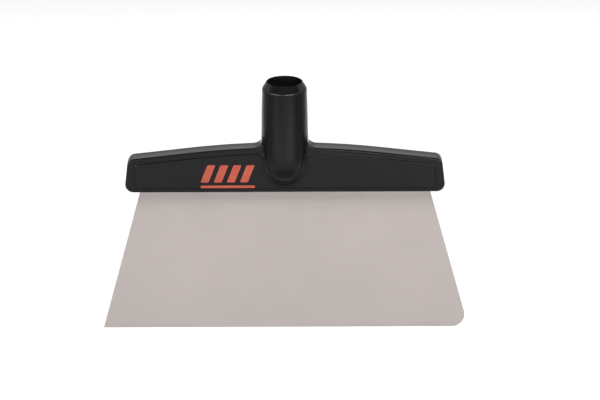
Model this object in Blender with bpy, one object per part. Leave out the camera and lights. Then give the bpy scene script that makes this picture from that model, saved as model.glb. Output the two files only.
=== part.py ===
"""Flexible wide scraper head for a threaded pole.

A glossy black plastic head, with a crowned bar and an upright pole socket, is moulded round the
root of a flared sheet of spring steel. The steel bends; everything else is rigid.

Frame: origin at the centre of the socket's mouth, +Z up along the socket's axis, +X to the right
and -Y towards the printed front face. Dimensions below are millimetres, the scene is in metres.
"""

import math

import bmesh
import bpy
from mathutils import Vector

MM = 0.001

# ---- overall ----
TOTAL_HEIGHT = 186.0        # socket mouth to working edge
BAR_DEPTH = 13.2            # front to rear at the border round the raised panels

# ---- bar outline, seen from the front ----
BAR_BOTTOM_Z = -79.6
BAR_HALF_BOTTOM = 112.8     # half width where the ends meet the bottom edge
END_LEAN = math.radians(7.3)       # the ends lean inwards as they rise
CROWN_Z = -46.4             # top edge at the middle
CROWN_RADIUS = 590.0        # the top edge is an arc in the middle ...
CROWN_TANGENT = math.radians(6.5)  # ... and runs straight down at this angle to the ends
TOP_CORNER_RADIUS = 4.0
BOTTOM_CORNER_RADIUS = 6.5
BAR_EDGE_BEVEL = 1.0
SOCKET_FILLET = 7.0         # the top edge sweeps up into the socket on this radius
SOCKET_FILLET_X = 15.2      # where that sweep ends, upright, inside the barrel

# ---- raised panel on the front and rear faces ----
PANEL_RISE = 0.6
PANEL_TOP_BORDER = 4.1
PANEL_END_BORDER = 6.0
PANEL_BOTTOM_BORDER = 3.4
PANEL_CORNER_RADIUS = 2.0

# ---- pole socket ----
RIM_RADIUS = 12.45          # flat rim round the mouth
NOSE_HEIGHT = 5.0           # cone between the rim and the full diameter
NOSE_RADIUS = 15.5
SOCKET_FOOT_RADIUS = 16.4   # widened by draft where it sinks into the bar
SOCKET_FOOT_Z = -53.0       # where the barrel ends and its round end begins
SOCKET_FOOT_DROP = 21.0     # length of that round end, which bulges from the bar
BORE_DEPTH = 56.0
BORE_LEAD_IN = 9.0          # plain, slightly tapered entry above the thread
BORE_ENTRY_RADIUS = 12.15   # at the mouth
BORE_RADIUS = 11.1
THREAD_CREST_RADIUS = 9.9   # smallest radius inside the thread
THREAD_PITCH = 5.0
THREAD_END_Z = -52.0
THREAD_ROWS_PER_PITCH = 6
BORE_SIDES = 24

# ---- blade ----
BLADE_THICKNESS = 0.5
BLADE_TIP_HALF = 131.5      # half width at the working edge, before the corner is rounded
BLADE_FLARE = math.radians(15.7)   # each side edge leans out by this much
BLADE_CORNER_RADIUS = 9.2   # the right corner is rounded, the left one is sharp
TANG_TOP_Z = -67.8          # top of the steel inside the bar
TANG_HOLE_DIAMETER = 6.0
TANG_HOLE_Z = -73.5
TANG_HOLE_PITCH = 30.0
TANG_HOLE_COUNT = 7
FIT_GAP = 0.3               # clearance that stands for the bonded contact
FLEX_AXIS_Z = BAR_BOTTOM_Z - 20.0  # equivalent hinge of the bending blade
FLEX_GAP = 0.4              # between the held and the flexing part of the blade

# ---- printed mark: slanted strokes over a rule ----
MARK_LEFT_X = -59.0
MARK_WIDTH = 38.0
MARK_BOTTOM_Z = -76.0
MARK_RULE_HEIGHT = 1.9
MARK_STROKE_BOTTOM_Z = -71.8
MARK_STROKE_HEIGHT = 12.8
MARK_STROKE_WIDTH = 5.6
MARK_STROKE_SLANT = 5.0
MARK_STROKES = 4
MARK_THICKNESS = 0.3

ARC_STEPS = 5
CROWN_STEPS = 12

BLADE_TIP_Z = -TOTAL_HEIGHT


# ---------------------------------------------------------------- outlines
def rounded(points, radii):
    """A closed outline with each corner replaced by an arc of its radius (0 keeps it sharp)."""
    outline = []
    for i, (corner, radius) in enumerate(zip(points, radii)):
        here = Vector(corner)
        before = (Vector(points[i - 1]) - here).normalized()
        after = (Vector(points[(i + 1) % len(points)]) - here).normalized()
        if radius == 0:
            outline.append(here)
            continue
        half_angle = before.angle(after) / 2
        centre = here + (before + after).normalized() * radius / math.sin(half_angle)
        start = here + before * radius / math.tan(half_angle) - centre
        end = here + after * radius / math.tan(half_angle) - centre
        sweep = start.angle_signed(end)
        for k in range(ARC_STEPS + 1):
            turn = -sweep * k / ARC_STEPS
            spoke = Vector((start.x * math.cos(turn) - start.y * math.sin(turn),
                            start.x * math.sin(turn) + start.y * math.cos(turn)))
            outline.append(centre + spoke)
    return outline


def crown_height(x, drop):
    """Height of the bar's top edge at x, lowered by drop."""
    arc_half = CROWN_RADIUS * math.sin(CROWN_TANGENT)
    reach = min(abs(x), arc_half)
    fall = CROWN_RADIUS - math.sqrt(CROWN_RADIUS ** 2 - reach ** 2)
    return CROWN_Z - drop - fall - (abs(x) - reach) * math.tan(CROWN_TANGENT)


def bar_half_width(z, inset):
    return BAR_HALF_BOTTOM - inset - (z - BAR_BOTTOM_Z) * math.tan(END_LEAN)


def socket_sweep(side):
    """Points of the fillet from the crown up to the socket, on the side with this sign."""
    foot_x = SOCKET_FILLET_X + SOCKET_FILLET
    centre_z = crown_height(foot_x, 0) + SOCKET_FILLET
    angles = [math.pi / 2 * k / ARC_STEPS for k in range(ARC_STEPS + 1)]
    return [(side * (foot_x - SOCKET_FILLET * math.sin(a)), centre_z - SOCKET_FILLET * math.cos(a))
            for a in angles]


def bar_outline(top_inset, end_inset, bottom_inset, top_radius, bottom_radius, swept=False):
    """The bar's outline in X and Z, anticlockwise seen from the front, inset as given."""
    bottom = BAR_BOTTOM_Z + bottom_inset
    corner_x = bar_half_width(bottom, end_inset)
    for _ in range(6):
        corner_x = bar_half_width(crown_height(corner_x, top_inset), end_inset)
    arc_half = CROWN_RADIUS * math.sin(CROWN_TANGENT)
    crown_x = [arc_half * (1 - 2 * k / CROWN_STEPS) for k in range(CROWN_STEPS + 1)]
    crown = [(x, crown_height(x, top_inset)) for x in crown_x]
    if swept:
        outer = [p for p in crown if abs(p[0]) > SOCKET_FILLET_X + SOCKET_FILLET]
        crown = [p for p in outer if p[0] > 0] + socket_sweep(1)
        crown += socket_sweep(-1)[::-1] + [p for p in outer if p[0] < 0]
    points = [(-bar_half_width(bottom, end_inset), bottom),
              (bar_half_width(bottom, end_inset), bottom),
              (corner_x, crown_height(corner_x, top_inset))]
    points += crown
    points += [(-corner_x, crown_height(corner_x, top_inset))]
    radii = [bottom_radius, bottom_radius, top_radius] + [0] * len(crown) + [top_radius]
    return rounded(points, radii)


def blade_half_width(z):
    return BLADE_TIP_HALF - (z - BLADE_TIP_Z) * math.tan(BLADE_FLARE)


def blade_outline(low_z, high_z, grow=0.0, right_corner=0.0):
    low, high = blade_half_width(low_z) + grow, blade_half_width(high_z) + grow
    points = [(-low, low_z), (low, low_z), (high, high_z), (-high, high_z)]
    return rounded(points, [0, right_corner, 0, 0])


# ---------------------------------------------------------------- meshes
def make_object(name, bm):
    bmesh.ops.recalc_face_normals(bm, faces=bm.faces)
    mesh = bpy.data.meshes.new(name)
    bm.to_mesh(mesh)
    bm.free()
    obj = bpy.data.objects.new(name, mesh)
    bpy.context.scene.collection.objects.link(obj)
    return obj


def add_prism(bm, outline, front_y, rear_y):
    """Adds the outline, in X and Z, as a solid between two depths."""
    face = bm.faces.new([bm.verts.new((p[0] * MM, front_y * MM, p[1] * MM)) for p in outline])
    extruded = bmesh.ops.extrude_face_region(bm, geom=[face])["geom"]
    moved = [e for e in extruded if isinstance(e, bmesh.types.BMVert)]
    bmesh.ops.translate(bm, verts=moved, vec=(0, (rear_y - front_y) * MM, 0))


def prism(name, outline, front_y, rear_y):
    bm = bmesh.new()
    add_prism(bm, outline, front_y, rear_y)
    return make_object(name, bm)


def turned(name, profile, sides):
    """A solid turned round Z from a profile of (radius, z) that starts and ends on the axis."""
    bm = bmesh.new()
    verts = [bm.verts.new((r * MM, 0, z * MM)) for r, z in profile]
    edges = [bm.edges.new(pair) for pair in zip(verts, verts[1:])]
    bmesh.ops.spin(bm, geom=verts + edges, cent=(0, 0, 0), axis=(0, 0, 1),
                   angle=math.tau, steps=sides, use_merge=True)
    bmesh.ops.remove_doubles(bm, verts=bm.verts, dist=1e-7)
    return make_object(name, bm)


def boolean(obj, other, operation):
    modifier = obj.modifiers.new(other.name, "BOOLEAN")
    modifier.operation = operation
    modifier.object = other
    modifier.solver = "EXACT"
    other.hide_render = True
    other.display_type = "WIRE"


def paint(obj, name, colour, roughness, metallic=0.0):
    material = bpy.data.materials.get(name) or bpy.data.materials.new(name)
    material.use_nodes = True
    shader = material.node_tree.nodes["Principled BSDF"]
    shader.inputs["Base Color"].default_value = (*colour, 1.0)
    shader.inputs["Roughness"].default_value = roughness
    shader.inputs["Metallic"].default_value = metallic
    obj.data.materials.clear()
    obj.data.materials.append(material)
    obj.data.shade_smooth()
    obj.data.set_sharp_from_angle(angle=math.radians(30))


# ---------------------------------------------------------------- head
def bar_blank():
    outline = bar_outline(0, 0, 0, TOP_CORNER_RADIUS, BOTTOM_CORNER_RADIUS, swept=True)
    bar = prism("head_moulding", outline, -BAR_DEPTH / 2, BAR_DEPTH / 2)
    bevel = bar.modifiers.new("edge_bevel", "BEVEL")
    bevel.width = BAR_EDGE_BEVEL * MM
    bevel.segments = 2
    bevel.limit_method = "ANGLE"
    bevel.angle_limit = math.radians(60)
    return bar


def raised_panels():
    """One plate through the bar that stands proud as the panels of its front and rear faces."""
    outline = bar_outline(PANEL_TOP_BORDER, PANEL_END_BORDER, PANEL_BOTTOM_BORDER,
                          PANEL_CORNER_RADIUS, PANEL_CORNER_RADIUS)
    half = BAR_DEPTH / 2 + PANEL_RISE
    return prism("raised_panels", outline, -half, half)


def socket_blank():
    """Rim, conical nose, drafted barrel and the round end that bulges out of the bar."""
    quarter = [math.pi / 2 * k / 8 for k in range(9)]
    profile = [(0, 0), (RIM_RADIUS, 0), (NOSE_RADIUS, -NOSE_HEIGHT)]
    profile += [(SOCKET_FOOT_RADIUS * math.cos(a), SOCKET_FOOT_Z - SOCKET_FOOT_DROP * math.sin(a))
                for a in quarter[:-1]]
    profile += [(0, SOCKET_FOOT_Z - SOCKET_FOOT_DROP)]
    return turned("socket_blank", profile, 48)


def bore_radius(z, angle):
    """Radius of the threaded bore's wall: one coarse right-hand start below a plain entry."""
    if z > -BORE_LEAD_IN:
        return BORE_RADIUS + (BORE_ENTRY_RADIUS - BORE_RADIUS) * (1 + z / BORE_LEAD_IN)
    if z < THREAD_END_Z:
        return THREAD_CREST_RADIUS
    turn = (z / THREAD_PITCH - angle / math.tau) % 1.0
    slope = min(1.0, max(0.0, 3.0 * abs(2 * turn - 1) - 1.0))
    return THREAD_CREST_RADIUS + (BORE_RADIUS - THREAD_CREST_RADIUS) * slope


def bore_cutter():
    above = 1.0
    step = THREAD_PITCH / THREAD_ROWS_PER_PITCH
    rows = round((BORE_DEPTH - BORE_LEAD_IN) / step)
    heights = [above, -BORE_LEAD_IN + 0.01]
    heights += [-BORE_LEAD_IN - (BORE_DEPTH - BORE_LEAD_IN) * k / rows for k in range(1, rows + 1)]
    bm = bmesh.new()
    rings = []
    for z in heights:
        ring = []
        for k in range(BORE_SIDES):
            angle = math.tau * k / BORE_SIDES
            r = bore_radius(z, angle)
            ring.append(bm.verts.new((r * math.cos(angle) * MM, r * math.sin(angle) * MM, z * MM)))
        rings.append(ring)
    for upper, lower in zip(rings, rings[1:]):
        for k in range(BORE_SIDES):
            j = (k + 1) % BORE_SIDES
            bm.faces.new((upper[k], upper[j], lower[j], lower[k]))
    bm.faces.new(rings[0])
    bm.faces.new(rings[-1][::-1])
    return make_object("cut_bore", bm)


def tang_hole_places():
    first = -TANG_HOLE_PITCH * (TANG_HOLE_COUNT - 1) / 2
    return [first + TANG_HOLE_PITCH * k for k in range(TANG_HOLE_COUNT)]


def hole_pins(name, diameter):
    """One pin through each hole of the blade's root, as separate bodies of one cutter."""
    bm = bmesh.new()
    for x in tang_hole_places():
        circle = [(x + diameter / 2 * math.cos(math.tau * k / 16),
                   TANG_HOLE_Z + diameter / 2 * math.sin(math.tau * k / 16)) for k in range(16)]
        add_prism(bm, circle, -2.0, 2.0)
    return make_object(name, bm)


def slot_cutter():
    """The narrow space that the blade's root fills, less the plastic keys through its holes."""
    half = BLADE_THICKNESS / 2 + FIT_GAP
    outline = blade_outline(BAR_BOTTOM_Z - 1.0, TANG_TOP_Z + FIT_GAP, grow=FIT_GAP)
    slot = prism("cut_blade_slot", outline, -half, half)
    boolean(slot, hole_pins("keep_keys", TANG_HOLE_DIAMETER - 2 * FIT_GAP), "DIFFERENCE")
    return slot


def head_moulding():
    head = bar_blank()
    boolean(head, raised_panels(), "UNION")
    boolean(head, socket_blank(), "UNION")
    boolean(head, bore_cutter(), "DIFFERENCE")
    boolean(head, slot_cutter(), "DIFFERENCE")
    paint(head, "black_plastic", (0.012, 0.012, 0.013), 0.32)


# ---------------------------------------------------------------- blade
def blade_root():
    """The held part of the blade: the tang inside the bar and the first stretch below it."""
    outline = blade_outline(FLEX_AXIS_Z + FLEX_GAP / 2, TANG_TOP_Z)
    root = prism("blade_root", outline, -BLADE_THICKNESS / 2, BLADE_THICKNESS / 2)
    boolean(root, hole_pins("cut_tang_holes", TANG_HOLE_DIAMETER), "DIFFERENCE")
    paint(root, "spring_steel", (0.58, 0.53, 0.51), 0.42, 1.0)


def blade_leaf():
    """The flexing part of the blade, hung from an empty on its equivalent hinge axis."""
    pivot = bpy.data.objects.new("flex_axis", None)
    pivot.location = (0, 0, FLEX_AXIS_Z * MM)
    bpy.context.scene.collection.objects.link(pivot)
    outline = blade_outline(BLADE_TIP_Z, FLEX_AXIS_Z - FLEX_GAP / 2,
                            right_corner=BLADE_CORNER_RADIUS)
    leaf = prism("blade_leaf", outline, -BLADE_THICKNESS / 2, BLADE_THICKNESS / 2)
    leaf.data.transform(pivot.matrix_basis.Translation(-pivot.location))
    leaf.parent = pivot
    paint(leaf, "spring_steel", (0.58, 0.53, 0.51), 0.42, 1.0)


# ---------------------------------------------------------------- print
def printed_mark():
    """Separate flat shapes over the front panel: slanted strokes above a rule."""
    right = MARK_LEFT_X + MARK_WIDTH
    rule_top = MARK_BOTTOM_Z + MARK_RULE_HEIGHT
    ink("mark_rule", [(MARK_LEFT_X, MARK_BOTTOM_Z), (right, MARK_BOTTOM_Z),
                      (right, rule_top), (MARK_LEFT_X, rule_top)])
    pitch = (MARK_WIDTH - MARK_STROKE_WIDTH - MARK_STROKE_SLANT) / (MARK_STROKES - 1)
    low, high = MARK_STROKE_BOTTOM_Z, MARK_STROKE_BOTTOM_Z + MARK_STROKE_HEIGHT
    for k in range(MARK_STROKES):
        x = MARK_LEFT_X + pitch * k
        ink(f"mark_stroke_{k + 1}", [(x, low), (x + MARK_STROKE_WIDTH, low),
                                     (x + MARK_STROKE_WIDTH + MARK_STROKE_SLANT, high),
                                     (x + MARK_STROKE_SLANT, high)])


def ink(name, outline):
    """One printed shape, just in front of the raised panel."""
    rear = -(BAR_DEPTH / 2 + PANEL_RISE) - FIT_GAP
    shape = prism(name, outline, rear - MARK_THICKNESS, rear)
    paint(shape, "orange_ink", (0.62, 0.13, 0.06), 0.5)


def main():
    for obj in list(bpy.data.objects):
        bpy.data.objects.remove(obj, do_unlink=True)
    head_moulding()
    blade_root()
    blade_leaf()
    printed_mark()


main()
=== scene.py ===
"""Looks of the flexible wide scraper head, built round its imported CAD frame.

The black head is one smooth moulded surface, the blade one sheet of steel that bends below the
bar, and the printed mark five thin films of ink. Lengths are millimetres unless a name says so.
"""

import itertools
import math

import bmesh
import bpy
import numpy as np
from mathutils import Matrix, Vector


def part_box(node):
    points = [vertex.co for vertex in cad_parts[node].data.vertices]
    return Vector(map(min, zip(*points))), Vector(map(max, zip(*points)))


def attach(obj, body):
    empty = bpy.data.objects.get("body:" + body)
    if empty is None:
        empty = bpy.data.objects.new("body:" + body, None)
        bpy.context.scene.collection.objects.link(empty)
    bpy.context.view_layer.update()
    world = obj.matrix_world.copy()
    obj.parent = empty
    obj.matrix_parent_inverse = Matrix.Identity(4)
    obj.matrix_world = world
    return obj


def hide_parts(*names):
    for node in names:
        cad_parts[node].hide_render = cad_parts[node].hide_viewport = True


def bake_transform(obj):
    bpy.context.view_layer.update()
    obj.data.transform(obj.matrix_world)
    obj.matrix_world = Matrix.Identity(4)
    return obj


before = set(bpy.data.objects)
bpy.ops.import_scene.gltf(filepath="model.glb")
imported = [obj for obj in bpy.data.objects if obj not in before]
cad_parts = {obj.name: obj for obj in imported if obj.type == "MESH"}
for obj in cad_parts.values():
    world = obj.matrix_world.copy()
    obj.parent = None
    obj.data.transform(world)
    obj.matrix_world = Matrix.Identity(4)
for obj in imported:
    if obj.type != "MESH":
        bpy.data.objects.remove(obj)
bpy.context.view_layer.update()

MM = 0.001
AXES = (0, 1, 2)


def box_mm(node):
    low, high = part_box(node)
    return np.array(low) / MM, np.array(high) / MM


HEAD_LOW, HEAD_HIGH = box_mm("head_moulding")
ROOT_LOW, ROOT_HIGH = box_mm("blade_root")
LEAF_LOW, LEAF_HIGH = box_mm("blade_leaf")

# ---- bar, as in the CAD ----
BAR_BOTTOM = HEAD_LOW[2]
BAR_HALF_DEPTH = 6.6
BAR_HALF_BOTTOM = 112.8
END_LEAN = math.radians(7.3)
CROWN_Z = -46.4
CROWN_RADIUS = 590.0
CROWN_TANGENT = math.radians(6.5)
TOP_CORNER_RADIUS = 3.8
BOTTOM_CORNER_RADIUS = 6.6
BAR_EDGE_RADIUS = 1.1
TOP_DRAFT = math.radians(1.7)      # the top and ends fall away from the parting plane
PANEL_RISE = 0.6
PANEL_TOP_BORDER = 3.7
PANEL_END_BORDER = 5.4
PANEL_BOTTOM_BORDER = 2.7
PANEL_CORNER_RADIUS = 2.5
PANEL_SLOPE = 1.1                  # width of the soft step up to the panel

# ---- socket ----
FOOT_RADIUS = HEAD_HIGH[1]
FOOT_Z = -53.0
FOOT_DROP = 21.0
NOSE_HEIGHT = 5.0
NOSE_RADIUS = 15.5
RIM_RADIUS = 12.45
RIM_ROUNDING = 0.14
NOSE_ROUNDING = 0.40
SOCKET_FILLET = 7.0                # the top edge sweeps up into the socket on this radius
SOCKET_FILLET_X = 15.2             # where that sweep ends, upright, inside the barrel
BARREL_FILLET = 1.6                # the small radius that is left where barrel and bar meet
BULGE_FILLET = 3.4                 # where its round end meets the faces
FILLET_CHANGE_Z = CROWN_Z - 9.0    # from here up the fillet narrows to the barrel's ...
FILLET_CHANGE = 6.0                # ... over this height
BORE_ENTRY_RADIUS = 12.15          # at the mouth; the entry tapers to the thread's root
BORE_RADIUS = 11.1
BORE_LEAD_IN = 9.0
BORE_DEPTH = 56.0
BORE_FLOOR_RADIUS = 1.5
THREAD_DEPTH = 1.2
THREAD_PITCH = 5.0
THREAD_END_Z = -52.0
THREAD_FADE = 4.0
THREAD_FOOT = 0.72                 # share of the pitch that a ridge takes up at its foot
THREAD_FLANK = 0.44                # share of the pitch that its two flanks take up

# ---- blade ----
BLADE_HALF = ROOT_HIGH[1]
TIP_Z = LEAF_LOW[2]
TIP_HALF = -LEAF_LOW[0]
TANG_TOP_Z = ROOT_HIGH[2]
BLADE_SIDE_SLOPE = (TIP_HALF - ROOT_HIGH[0]) / (ROOT_LOW[2] - TIP_Z)
BLADE_CORNER_RADIUS = 9.2
FLEX_AXIS_Z = (ROOT_LOW[2] + LEAF_HIGH[2]) / 2
TANG_HOLE_RADIUS = 3.0
TANG_HOLE_Z = -73.5
TANG_HOLE_PLACES = [30.0 * k for k in range(-3, 4)]
SLOT_GAP = 0.03
LAND_HEIGHT = 2.5                  # ground strip along the working edge
LAND_HALF = 0.19                   # half the thickness at the working edge
BLADE_EDGE = 0.06                  # broken corners of the sheet
CORNER_STEPS = 15
BLADE_COLUMNS = 31

INK_HALF_FILM = 0.03
INK_CORNER = 0.35
STROKE_WIDTH = 5.6

# ---- where the head's grid bends to the shape, and over what length each bend sets in ----
RING_Z, RING_RUN = CROWN_Z - 2.0, 5.0
CROWNED_Z, CROWNED_RUN = -76.0, 22.0
LEVEL_Z, LEVEL_RUN = -40.0, 15.0
LEAN_X, LEAN_RUN = 55.0, 45.0
GRID_MARGIN = 0.5                  # how far the grid reaches past the surface


# ---------------------------------------------------------------- field of the head
def rounded_max(a, b, r):
    """Intersection of two signed distances, with its edge rounded to radius r."""
    return np.minimum(-r, np.maximum(a, b)) + np.hypot(np.maximum(r + a, 0), np.maximum(r + b, 0))


def rounded_min(a, b, r):
    """Union of two signed distances, with its inner corner filled to radius r."""
    return np.maximum(r, np.minimum(a, b)) - np.hypot(np.maximum(r - a, 0), np.maximum(r - b, 0))


def smooth(t):
    t = np.clip(t, 0, 1)
    return t * t * (3 - 2 * t)


def crown_fall(x):
    """How far the top edge has fallen at x: an arc that runs on as a straight line."""
    reach = np.minimum(np.abs(x), CROWN_RADIUS * math.sin(CROWN_TANGENT))
    arc = CROWN_RADIUS - np.sqrt(CROWN_RADIUS ** 2 - reach ** 2)
    return arc + (np.abs(x) - reach) * math.tan(CROWN_TANGENT)


def bar_outline(x, y, z, insets, radii):
    """Distance to the bar's outline, inset at its top, ends and bottom."""
    fall = np.abs(y) * math.tan(TOP_DRAFT)
    top = (z - CROWN_Z + crown_fall(x) + fall) * math.cos(CROWN_TANGENT / 2) + insets[0]
    end = np.abs(x) - BAR_HALF_BOTTOM + (z - BAR_BOTTOM) * math.tan(END_LEAN) + fall
    upper = rounded_max(top, end * math.cos(END_LEAN) + insets[1], radii[0])
    return rounded_max(upper, BAR_BOTTOM - z + insets[2], radii[1])


def bar_field(x, y, z):
    outline = bar_outline(x, y, z, (0, 0, 0), (TOP_CORNER_RADIUS, BOTTOM_CORNER_RADIUS))
    column = np.maximum(np.abs(x) - SOCKET_FILLET_X, np.abs(z - CROWN_Z) - SOCKET_FILLET)
    outline = rounded_min(outline, column, SOCKET_FILLET)
    panel = bar_outline(x, 0, z, (PANEL_TOP_BORDER, PANEL_END_BORDER, PANEL_BOTTOM_BORDER),
                        (PANEL_CORNER_RADIUS, PANEL_CORNER_RADIUS))
    face = np.abs(y) - BAR_HALF_DEPTH - PANEL_RISE * smooth(-panel / PANEL_SLOPE)
    return rounded_max(outline, face, BAR_EDGE_RADIUS)


def socket_field(x, y, z):
    r = np.hypot(x, y)
    down = np.clip((-NOSE_HEIGHT - z) / (-NOSE_HEIGHT - FOOT_Z), 0, 1)
    barrel = r - NOSE_RADIUS - (FOOT_RADIUS - NOSE_RADIUS) * down * (2 - down)
    foot = np.hypot(r, (z - FOOT_Z) * FOOT_RADIUS / FOOT_DROP) - FOOT_RADIUS
    wall = np.where(z < FOOT_Z, foot, barrel)
    cone = math.atan2(NOSE_RADIUS - RIM_RADIUS, NOSE_HEIGHT)
    nose = (r - RIM_RADIUS) * math.cos(cone) + z * math.sin(cone)
    return rounded_max(rounded_max(wall, nose, NOSE_ROUNDING), z, RIM_ROUNDING)


def bore_field(x, y, z):
    """The threaded bore: one coarse right-hand start, faded in and out at its ends."""
    turn = (z / THREAD_PITCH - np.arctan2(y, x) / math.tau) % 1.0
    ridge = smooth((THREAD_FOOT - np.abs(2 * turn - 1)) / THREAD_FLANK)
    present = smooth((-BORE_LEAD_IN - z) / THREAD_FADE) * smooth((z - THREAD_END_Z) / THREAD_FADE)
    entry = (BORE_ENTRY_RADIUS - BORE_RADIUS) * np.maximum(1 + z / BORE_LEAD_IN, 0)
    wall = np.hypot(x, y) - BORE_RADIUS - entry + THREAD_DEPTH * ridge * present
    return rounded_max(wall, -BORE_DEPTH - z, BORE_FLOOR_RADIUS)


def slot_field(x, y, z):
    """The pocket that the blade's root fills, less the plastic keys through its holes."""
    side = np.abs(x) - blade_half_width(z) - SLOT_GAP
    pocket = np.maximum(np.maximum(side, np.abs(y) - BLADE_HALF - SLOT_GAP), z - TANG_TOP_Z - SLOT_GAP)
    for place in TANG_HOLE_PLACES:
        key = TANG_HOLE_RADIUS - SLOT_GAP - np.hypot(x - place, z - TANG_HOLE_Z)
        pocket = np.maximum(pocket, key)
    return pocket


def head_field(x, y, z):
    change = smooth((z - FILLET_CHANGE_Z) / FILLET_CHANGE)
    fillet = BULGE_FILLET + (BARREL_FILLET - BULGE_FILLET) * change
    solid = rounded_min(bar_field(x, y, z), socket_field(x, y, z), fillet)
    solid = rounded_max(solid, -bore_field(x, y, z), RIM_ROUNDING)
    return np.maximum(solid, -slot_field(x, y, z))


# ---------------------------------------------------------------- surface from a field
def runs(start, *parts):
    """Grid lines from start through parts of (end, step), evenly spaced in each part."""
    line = [start]
    for end, step in parts:
        count = max(1, round(abs(end - line[-1]) / step))
        line += list(np.linspace(line[-1], end, count + 1)[1:])
    return np.array(line)


def mirrored(half):
    return np.concatenate([-half[:0:-1], half])


def warp(x, y, z):
    """Bends the grid to the shape: rings round the socket, rows along the crown and the ends."""
    widest, radius = np.maximum(np.abs(x), np.abs(y)), np.maximum(np.hypot(x, y), 1e-9)
    ring = 1 + (widest / radius - 1) * smooth((z - RING_Z) / RING_RUN)
    x, y = x * ring, y * ring
    crowned = np.clip((z - CROWNED_Z) / CROWNED_RUN, 0, 1) * (1 - smooth((z - LEVEL_Z) / LEVEL_RUN))
    z = z - crown_fall(x) * crowned
    lean = (z - BAR_BOTTOM) * math.tan(END_LEAN) * smooth((np.abs(x) - LEAN_X) / LEAN_RUN)
    return x - np.sign(x) * lean, y, z


def crossing_cells(inside):
    count = sum(inside[tuple(slice(c, n - 1 + c) for c, n in zip(corner, inside.shape))].astype(int)
                for corner in itertools.product((0, 1), repeat=3))
    return (count > 0) & (count < 8)


def cell_points(lines, values, index):
    """For each crossed cell, the mean of the points where the surface cuts its edges."""
    total = np.zeros((index.max() + 1, 3))
    cuts = np.zeros(index.max() + 1)
    for axis in AXES:
        low = [slice(None)] * 3
        high = [slice(None)] * 3
        low[axis], high[axis] = slice(None, -1), slice(1, None)
        a, b = values[tuple(low)], values[tuple(high)]
        where = np.argwhere((a < 0) != (b < 0))
        share = a[tuple(where.T)] / (a[tuple(where.T)] - b[tuple(where.T)])
        points = np.stack([lines[k][where[:, k]] for k in AXES], 1)
        points[:, axis] += share * (lines[axis][where[:, axis] + 1] - lines[axis][where[:, axis]])
        others = [k for k in AXES if k != axis]
        for shift in itertools.product((0, 1), repeat=2):
            cell = where.copy()
            cell[:, others] -= shift
            good = np.all((cell >= 0) & (cell < index.shape), axis=1)
            which = index[tuple(cell[good].T)]
            np.add.at(total, which, points[good])
            np.add.at(cuts, which, 1)
    return total / cuts[:, None]


def cell_quads(values, index):
    """One quad for each grid edge that the surface cuts, wound so that it faces outwards."""
    quads = []
    for axis in AXES:
        u, v = (axis + 1) % 3, (axis + 2) % 3
        low = [slice(None)] * 3
        high = [slice(None)] * 3
        low[axis], high[axis] = slice(None, -1), slice(1, None)
        a, b = values[tuple(low)], values[tuple(high)]
        where = np.argwhere((a < 0) != (b < 0))
        where = where[(where[:, u] > 0) & (where[:, v] > 0)
                      & (where[:, u] < index.shape[u]) & (where[:, v] < index.shape[v])]
        ring = []
        for du, dv in ((1, 1), (0, 1), (0, 0), (1, 0)):
            cell = where.copy()
            cell[:, u] -= du
            cell[:, v] -= dv
            ring.append(index[tuple(cell.T)])
        faces = np.stack(ring, 1)
        rising = a[tuple(where.T)] < 0
        quads.append(np.where(rising[:, None], faces, faces[:, ::-1]))
    return np.concatenate(quads)


def gradient(field, points, reach=0.01):
    slope = np.zeros_like(points)
    for axis in AXES:
        step = np.zeros(3)
        step[axis] = reach
        slope[:, axis] = (field(*(points + step).T) - field(*(points - step).T)) / (2 * reach)
    return slope


def settle(field, points, rounds=4, longest=0.3):
    """Moves the points onto the field's surface, along its slope."""
    for _ in range(rounds):
        slope = gradient(field, points)
        move = field(*points.T)[:, None] * slope / np.maximum((slope ** 2).sum(1), 0.05)[:, None]
        size = np.linalg.norm(move, axis=1, keepdims=True)
        points = points - move * np.minimum(1, longest / np.maximum(size, 1e-9))
    return points


def field_mesh(name, field, lines):
    """A closed mesh of the field's surface, with normals taken from the field itself."""
    grid = np.meshgrid(*lines, indexing="ij")
    values = field(*warp(*grid))
    cells = crossing_cells(values < 0)
    index = np.full(cells.shape, -1)
    index[cells] = np.arange(cells.sum())
    points = settle(field, np.stack(warp(*cell_points(lines, values, index).T), 1))
    mesh = bpy.data.meshes.new(name)
    mesh.from_pydata((points * MM).tolist(), [], cell_quads(values, index).tolist())
    mesh.shade_smooth()
    slope = gradient(field, points)
    slope /= np.linalg.norm(slope, axis=1, keepdims=True)
    mesh.normals_split_custom_set_from_vertices(slope.tolist())
    return mesh


def head_lines():
    """Grid lines, closest together where the shape has small radii or the bore has its thread."""
    near = runs(0.0, (0.5, 0.25), (4.2, 0.95), (7.5, 0.36), (9.8, 0.9), (12.5, 0.34),
                (14.5, 1.0), (FOOT_RADIUS + GRID_MARGIN, 0.4))
    across = np.concatenate([near, runs(near[-1], (24.0, 0.75), (100.0, 4.2), (113.6, 0.45))[1:]])
    up = runs(BAR_BOTTOM - 0.6, (-71.0, 0.42), (-54.0, 1.1), (-42.0, 0.40), (-5.8, 1.0), (GRID_MARGIN, 0.34))
    return mirrored(across), mirrored(near), up


def add_piece(mesh):
    obj = bpy.data.objects.new(mesh.name, mesh)
    bpy.context.scene.collection.objects.link(obj)
    return obj


# ---------------------------------------------------------------- blade
def blade_half_width(z):
    return TIP_HALF - (z - TIP_Z) * BLADE_SIDE_SLOPE


def corner_arc():
    """Centre of the rounded right corner, and the angle at which it meets the side edge."""
    lean = math.atan(BLADE_SIDE_SLOPE)
    centre_z = TIP_Z + BLADE_CORNER_RADIUS
    side_x = blade_half_width(centre_z) - BLADE_CORNER_RADIUS / math.cos(lean)
    return side_x, centre_z, lean


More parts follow.
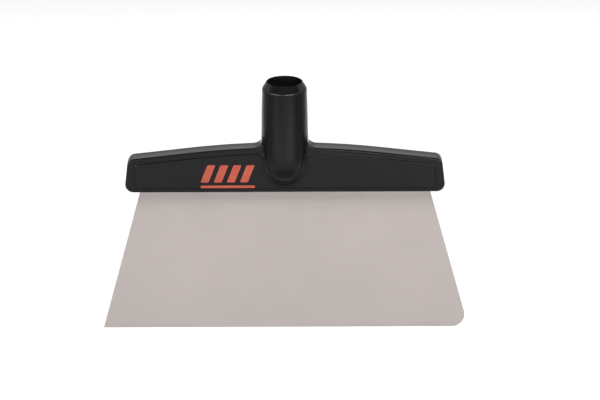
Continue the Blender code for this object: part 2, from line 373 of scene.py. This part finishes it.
def right_edge(z):
    centre_x, centre_z, lean = corner_arc()
    if z >= centre_z + BLADE_CORNER_RADIUS * math.sin(lean):
        return blade_half_width(z)
    drop = min(BLADE_CORNER_RADIUS, abs(z - centre_z))
    return centre_x + math.sqrt(BLADE_CORNER_RADIUS ** 2 - drop ** 2)


def blade_rows():
    _, centre_z, lean = corner_arc()
    arc = [centre_z + BLADE_CORNER_RADIUS * math.sin(a)
           for a in np.linspace(lean, -math.pi / 2, CORNER_STEPS)]
    bend = 2 * FLEX_AXIS_Z - BAR_BOTTOM
    rows = runs(TANG_TOP_Z, (TANG_TOP_Z - BLADE_EDGE, 1.0), (BAR_BOTTOM, 4.0), (bend, 1.6), (arc[0], 7.0))
    land = [TIP_Z + LAND_HEIGHT, TIP_Z + BLADE_EDGE]
    return np.array(sorted(set(list(rows) + arc + land), reverse=True))


def blade_grid(side, rows, shares):
    """Points of one face: side is -1 at the front and 1 at the rear."""
    grid = []
    for i, z in enumerate(rows):
        left, right = -blade_half_width(z), right_edge(z)
        half = np.interp(z, [TIP_Z, TIP_Z + LAND_HEIGHT], [LAND_HALF, BLADE_HALF])
        row_end = i in (0, len(rows) - 1)
        for j, share in enumerate(shares):
            edge = row_end or j in (0, len(shares) - 1)
            inset = {1: BLADE_EDGE, len(shares) - 2: -BLADE_EDGE}.get(j, 0)
            x = left + (right - left) * share + inset
            grid.append((x * MM, side * (half - (BLADE_EDGE if edge else 0)) * MM, z * MM))
    return grid


def blade_sheet():
    """The whole blade from its tang to the working edge, with the broken corners of cut sheet."""
    rows = blade_rows()
    shares = np.concatenate([[0.0], np.linspace(0, 1, BLADE_COLUMNS), [1.0]])
    n, m = len(rows), len(shares)
    points = blade_grid(-1, rows, shares) + blade_grid(1, rows, shares)
    at = lambda side, i, j: side * n * m + i * m + j
    faces = []
    for i, j in itertools.product(range(n - 1), range(m - 1)):
        faces.append((at(0, i, j), at(0, i + 1, j), at(0, i + 1, j + 1), at(0, i, j + 1)))
        faces.append((at(1, i, j), at(1, i, j + 1), at(1, i + 1, j + 1), at(1, i + 1, j)))
    ring = [(0, j) for j in range(m)] + [(i, m - 1) for i in range(1, n)]
    ring += [(n - 1, j) for j in range(m - 2, -1, -1)] + [(i, 0) for i in range(n - 2, 0, -1)]
    for here, there in zip(ring, ring[1:] + ring[:1]):
        faces.append((at(0, *here), at(0, *there), at(1, *there), at(1, *here)))
    mesh = bpy.data.meshes.new("blade_sheet")
    mesh.from_pydata(points, [], faces)
    return add_piece(mesh)


def cut_tang_holes(blade):
    """Drills the row of holes that the moulded keys pass through."""
    bm = bmesh.new()
    for place in TANG_HOLE_PLACES:
        turn = Matrix.Translation((place * MM, 0, TANG_HOLE_Z * MM)) @ Matrix.Rotation(math.pi / 2, 4, "X")
        bmesh.ops.create_cone(bm, cap_ends=True, segments=40, radius1=TANG_HOLE_RADIUS * MM,
                              radius2=TANG_HOLE_RADIUS * MM, depth=4 * MM, matrix=turn)
    mesh = bpy.data.meshes.new("hole_pins")
    bm.to_mesh(mesh)
    bm.free()
    pins = add_piece(mesh)
    cut = blade.modifiers.new("holes", "BOOLEAN")
    cut.operation, cut.solver, cut.object = "DIFFERENCE", "EXACT", pins
    apply_modifiers(blade)
    bpy.data.objects.remove(pins)


def apply_modifiers(obj):
    bpy.context.view_layer.update()
    evaluated = obj.evaluated_get(bpy.context.evaluated_depsgraph_get())
    mesh = bpy.data.meshes.new_from_object(evaluated)
    obj.modifiers.clear()
    obj.data = mesh
    mesh.name = obj.name


def build_blade(material):
    blade = blade_sheet()
    cut_tang_holes(blade)
    blade.data.shade_smooth()
    blade.data.set_sharp_from_angle(angle=math.radians(30))
    blade.data.materials.clear()
    blade.data.materials.append(material)
    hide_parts("blade_root", "blade_leaf")
    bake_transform(blade)


def build_head(material):
    head = add_piece(field_mesh("head", head_field, head_lines()))
    head.data.materials.append(material)
    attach(head, "head")
    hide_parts("head_moulding")


# ---------------------------------------------------------------- print
def film_outline(node):
    """The printed shape of a CAD mark, in X and Z: a rule, or a stroke that leans."""
    low, high = box_mm(node)
    slant = 0 if node == "mark_rule" else high[0] - low[0] - STROKE_WIDTH
    return [(low[0], low[2]), (high[0] - slant, low[2]), (high[0], high[2]), (low[0] + slant, high[2])]


def build_ink(node, material):
    bm = bmesh.new()
    panel = -(BAR_HALF_DEPTH + PANEL_RISE)
    corners = [bm.verts.new((x * MM, (panel + INK_HALF_FILM) * MM, z * MM)) for x, z in film_outline(node)]
    face = bm.faces.new(corners)
    bmesh.ops.bevel(bm, geom=corners, offset=INK_CORNER * MM, segments=4, affect="VERTICES")
    bm.normal_update()
    face = bm.faces[:][0]
    if face.normal.y > 0:
        bmesh.ops.reverse_faces(bm, faces=[face])
    raised = bmesh.ops.extrude_face_region(bm, geom=[face])["geom"]
    moved = [e for e in raised if isinstance(e, bmesh.types.BMVert)]
    bmesh.ops.translate(bm, verts=moved, vec=(0, -2 * INK_HALF_FILM * MM, 0))
    bmesh.ops.recalc_face_normals(bm, faces=bm.faces)
    mesh = bpy.data.meshes.new(node.replace("mark", "ink"))
    bm.to_mesh(mesh)
    bm.free()
    film = add_piece(mesh)
    film.data.materials.append(material)
    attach(film, "head")
    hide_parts(node)


# ---------------------------------------------------------------- materials
class Nodes:
    """A small helper that adds and links shader nodes."""

    def __init__(self, name):
        self.material = bpy.data.materials.new(name)
        self.material.use_nodes = True
        self.tree = self.material.node_tree
        self.shader = self.tree.nodes["Principled BSDF"]
        self.place = self.add("ShaderNodeTexCoord").outputs["Object"]

    def add(self, kind, **settings):
        node = self.tree.nodes.new(kind)
        for key, value in settings.items():
            setattr(node, key, value)
        return node

    def link(self, source, target):
        self.tree.links.new(source, target)

    def noise(self, scale, detail=2.0, stretch=(1, 1, 1)):
        """Noise with features of 1/scale metres, longer along an axis with a small stretch."""
        mapping = self.add("ShaderNodeMapping")
        mapping.inputs["Scale"].default_value = stretch
        self.link(self.place, mapping.inputs["Vector"])
        node = self.add("ShaderNodeTexNoise")
        node.inputs["Scale"].default_value = scale
        node.inputs["Detail"].default_value = detail
        self.link(mapping.outputs["Vector"], node.inputs["Vector"])
        return node.outputs["Fac"]

    def between(self, factor, low, high, span=(0.3, 0.7)):
        node = self.add("ShaderNodeMapRange")
        node.inputs["From Min"].default_value, node.inputs["From Max"].default_value = span
        node.inputs["To Min"].default_value, node.inputs["To Max"].default_value = low, high
        self.link(factor, node.inputs["Value"])
        return node.outputs["Result"]

    def mix(self, factor, first, second):
        node = self.add("ShaderNodeMix", data_type="RGBA")
        node.inputs["A"].default_value = (*first, 1)
        node.inputs["B"].default_value = (*second, 1)
        self.link(factor, node.inputs["Factor"])
        return node.outputs["Result"]

    def maths(self, operation, first, second):
        node = self.add("ShaderNodeMath", operation=operation)
        for socket, value in zip(node.inputs, (first, second)):
            if isinstance(value, (int, float)):
                socket.default_value = value
            else:
                self.link(value, socket)
        return node.outputs["Value"]

    def bump(self, height, depth_mm, strength=1.0, below=None):
        node = self.add("ShaderNodeBump")
        node.inputs["Strength"].default_value = strength
        node.inputs["Distance"].default_value = depth_mm * MM
        self.link(height, node.inputs["Height"])
        if below is not None:
            self.link(below, node.inputs["Normal"])
        return node.outputs["Normal"]


def black_plastic():
    """Glossy moulded plastic: near black, faintly uneven gloss and a fine moulded texture."""
    n = Nodes("black_plastic_look")
    cloud = n.noise(35.0, 3.0)
    fine = n.noise(2600.0, 2.0)
    wave = n.noise(260.0, 2.0)
    n.link(n.mix(n.between(cloud, 0, 1), (0.0038, 0.0035, 0.0038), (0.0050, 0.0046, 0.0050)),
           n.shader.inputs["Base Color"])
    rough = n.maths("ADD", n.between(cloud, 0.16, 0.20), n.between(fine, -0.015, 0.015))
    n.link(rough, n.shader.inputs["Roughness"])
    n.shader.inputs["Specular IOR Level"].default_value = 0.32
    n.link(n.bump(fine, 0.004, below=n.bump(wave, 0.006)), n.shader.inputs["Normal"])
    return n.material


def spring_steel():
    """Rolled spring steel: satin, with faint lines along the blade and slow cloudy changes."""
    n = Nodes("spring_steel_look")
    lines = n.noise(1.0, 3.0, (30.0, 30.0, 4200.0))
    coarse = n.noise(1.0, 2.0, (9.0, 9.0, 420.0))
    cloud = n.noise(22.0, 2.0)
    tone = n.maths("ADD", n.between(lines, -0.25, 0.25), n.between(cloud, 0.2, 0.8))
    n.link(n.mix(tone, (0.520, 0.466, 0.448), (0.555, 0.498, 0.479)), n.shader.inputs["Base Color"])
    rough = n.maths("ADD", n.between(cloud, 0.46, 0.50), n.between(lines, -0.03, 0.03))
    n.link(rough, n.shader.inputs["Roughness"])
    n.shader.inputs["Metallic"].default_value = 0.5
    n.link(n.bump(lines, 0.0012, below=n.bump(coarse, 0.004)), n.shader.inputs["Normal"])
    return n.material


def orange_ink():
    """Screen-printed ink: a little uneven where it lies thin."""
    n = Nodes("orange_ink_look")
    grain = n.noise(1500.0, 2.0)
    cloud = n.noise(160.0, 2.0)
    n.link(n.mix(n.between(cloud, 0, 1), (0.42, 0.066, 0.036), (0.49, 0.086, 0.046)),
           n.shader.inputs["Base Color"])
    n.link(n.between(grain, 0.42, 0.54), n.shader.inputs["Roughness"])
    n.link(n.bump(grain, 0.006), n.shader.inputs["Normal"])
    return n.material


# ---------------------------------------------------------------- studio
FLOOR_Z = -0.80                    # metres, like everything in this part
FLOOR_SIZE = 9.0
# painted shade: the floor colour is grey in a round below the object, standing for its shadow, and white
# further out
FLOOR_SHADE_GREY, FLOOR_WHITE = 0.30, 0.87
FLOOR_SHADE_ROUND = (0.90, 1.20)         # distances from the socket's mouth where the painted shade fades to white
LIGHT_AIM = Vector((0, 0, -0.08))
WASH_HEIGHT = 1.1
WASH_POWER = 10.0
WASH_SPREAD_DEG = 100
WORLD_STRENGTH = 1.5
BACKDROP_STOPS = ((0.0, 0.40), (0.27, 0.27), (0.43, 0.95), (0.52, 0.55), (0.72, 0.06))
ROOM_STOPS = ((0.0, 0.66), (0.12, 0.80), (0.28, 0.60), (0.42, 0.08), (1.0, 0.05))
CAMERA_PITCH = math.radians(21.2)
CAMERA_ROLL = math.radians(0.22)
CAMERA_TARGET = Vector((10.45, 0, -87.96)) * MM
CAMERA_DISTANCE = 1.466
CAMERA_LENS_MM = 124.8
CAMERA_SENSOR_MM = 36.0


def pale_floor():
    """A white floor with a round of painted shade below the object, standing for its shadow there."""
    n = Nodes("pale_floor")
    away = n.add("ShaderNodeVectorMath", operation="LENGTH")
    n.link(n.place, away.inputs[0])
    # painted shade: grey near the object, fading to white further out
    share = n.between(away.outputs["Value"], 0, 1, FLOOR_SHADE_ROUND)
    n.link(n.mix(share, [FLOOR_SHADE_GREY] * 3, [FLOOR_WHITE] * 3), n.shader.inputs["Base Color"])
    n.shader.inputs["Roughness"].default_value = 0.9
    n.shader.inputs["Specular IOR Level"].default_value = 0.1
    bm = bmesh.new()
    bmesh.ops.create_grid(bm, x_segments=6, y_segments=6, size=FLOOR_SIZE,
                          matrix=Matrix.Translation((0, 0, FLOOR_Z)))
    mesh = bpy.data.meshes.new("floor")
    bm.to_mesh(mesh)
    bm.free()
    floor = add_piece(mesh)
    floor.data.materials.append(n.material)


def area_light(name, azimuth, elevation, distance, size, radiance, glossy=True, diffuse=True):
    """A soft light aimed at the object. Azimuth 0 is the front and 90 the right."""
    a, e = math.radians(azimuth), math.radians(elevation)
    light = bpy.data.lights.new(name, "AREA")
    light.shape, light.size, light.size_y = "RECTANGLE", *size
    light.energy = radiance * math.pi * size[0] * size[1]
    obj = bpy.data.objects.new(name, light)
    out = Vector((math.sin(a) * math.cos(e), -math.cos(a) * math.cos(e), math.sin(e)))
    obj.location = LIGHT_AIM + out * distance
    obj.rotation_mode = "QUATERNION"
    obj.rotation_quaternion = out.to_track_quat("Z", "Y")
    obj.visible_glossy = glossy
    obj.visible_diffuse = diffuse
    obj.visible_camera = False
    bpy.context.scene.collection.objects.link(obj)


def studio_world():
    """A white backdrop behind that glows most at 25 degrees, and a dim room in front."""
    world = bpy.data.worlds.new("studio")
    world.use_nodes = True
    tree = world.node_tree
    background = tree.nodes["Background"]
    background.inputs["Strength"].default_value = WORLD_STRENGTH
    place = tree.nodes.new("ShaderNodeTexCoord")
    split = tree.nodes.new("ShaderNodeSeparateXYZ")
    tree.links.new(place.outputs["Generated"], split.inputs["Vector"])
    behind = grey_ramp(tree, split.outputs["Z"], BACKDROP_STOPS)
    before = grey_ramp(tree, split.outputs["Z"], ROOM_STOPS)
    side = tree.nodes.new("ShaderNodeMapRange")
    side.interpolation_type = "SMOOTHSTEP"
    side.inputs["From Min"].default_value, side.inputs["From Max"].default_value = -0.2, 0.5
    mix = tree.nodes.new("ShaderNodeMix")
    mix.data_type = "RGBA"
    tree.links.new(split.outputs["Y"], side.inputs["Value"])
    tree.links.new(side.outputs["Result"], mix.inputs["Factor"])
    tree.links.new(before, mix.inputs["A"])
    tree.links.new(behind, mix.inputs["B"])
    tree.links.new(mix.outputs["Result"], background.inputs["Color"])
    bpy.context.scene.world = world


def grey_ramp(tree, height, stops):
    """Brightness against the sine of the elevation, from stops of (sine, grey)."""
    ramp = tree.nodes.new("ShaderNodeValToRGB")
    tree.links.new(height, ramp.inputs["Fac"])
    marks = ramp.color_ramp.elements
    for k, (place, grey) in enumerate(stops):
        mark = marks[k] if k < 2 else marks.new(place)
        mark.position, mark.color = place, (grey, grey, grey, 1)
    return ramp.outputs["Color"]


def floor_wash(name, x, y, size, gain):
    """A lamp with a grid, straight above the floor; gain is about what it adds to its brightness."""
    light = bpy.data.lights.new(name, "AREA")
    light.shape, light.size, light.size_y = "RECTANGLE", *size
    light.energy = gain * WASH_POWER * max(1.0, size[0] * size[1])
    light.spread = math.radians(WASH_SPREAD_DEG)
    obj = bpy.data.objects.new(name, light)
    obj.location = (x, y, FLOOR_Z + WASH_HEIGHT)
    obj.visible_glossy = False
    obj.visible_camera = False
    bpy.context.scene.collection.objects.link(obj)


def studio_lights():
    area_light("bank_right", 25, 10, 1.6, (1.35, 0.40), 5.0, diffuse=False)
    area_light("bank_left", -42, 10, 1.6, (1.70, 0.40), 3.6, diffuse=False)
    area_light("overhead", 0, 71, 1.0, (0.8, 0.8), 11.5, glossy=False)
    floor_wash("wash_back", 0, 2.1, (4.0, 2.8), 0.28)
    floor_wash("wash_right", 1.25, -2.1, (1.5, 0.9), 0.55)
    floor_wash("wash_left", -1.5, -1.9, (1.8, 0.9), 0.40)
    floor_wash("wash_front", 0.1, -2.5, (1.4, 0.7), 0.42)


def studio_camera():
    """The camera looks down at the front from a long way off, turned by a hair."""
    cos_p, sin_p = math.cos(CAMERA_PITCH), math.sin(CAMERA_PITCH)
    cos_r, sin_r = math.cos(CAMERA_ROLL), math.sin(CAMERA_ROLL)
    back = Vector((0, -cos_p, sin_p))
    right = Vector((cos_r, -sin_r * sin_p, -sin_r * cos_p))
    up = back.cross(right)
    data = bpy.data.cameras.new("camera")
    data.lens, data.sensor_width = CAMERA_LENS_MM, CAMERA_SENSOR_MM
    camera = bpy.data.objects.new("camera", data)
    turn = Matrix((right, up, back)).transposed().to_4x4()
    camera.matrix_world = Matrix.Translation(CAMERA_TARGET + back * CAMERA_DISTANCE) @ turn
    bpy.context.scene.collection.objects.link(camera)
    bpy.context.scene.camera = camera


def build():
    build_head(black_plastic())
    build_blade(spring_steel())
    ink = orange_ink()
    for node in sorted(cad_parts):
        if node.startswith("mark_"):
            build_ink(node, ink)
    pale_floor()
    studio_world()
    studio_lights()
    studio_camera()
    bpy.context.scene.view_settings.view_transform = "Standard"


build()
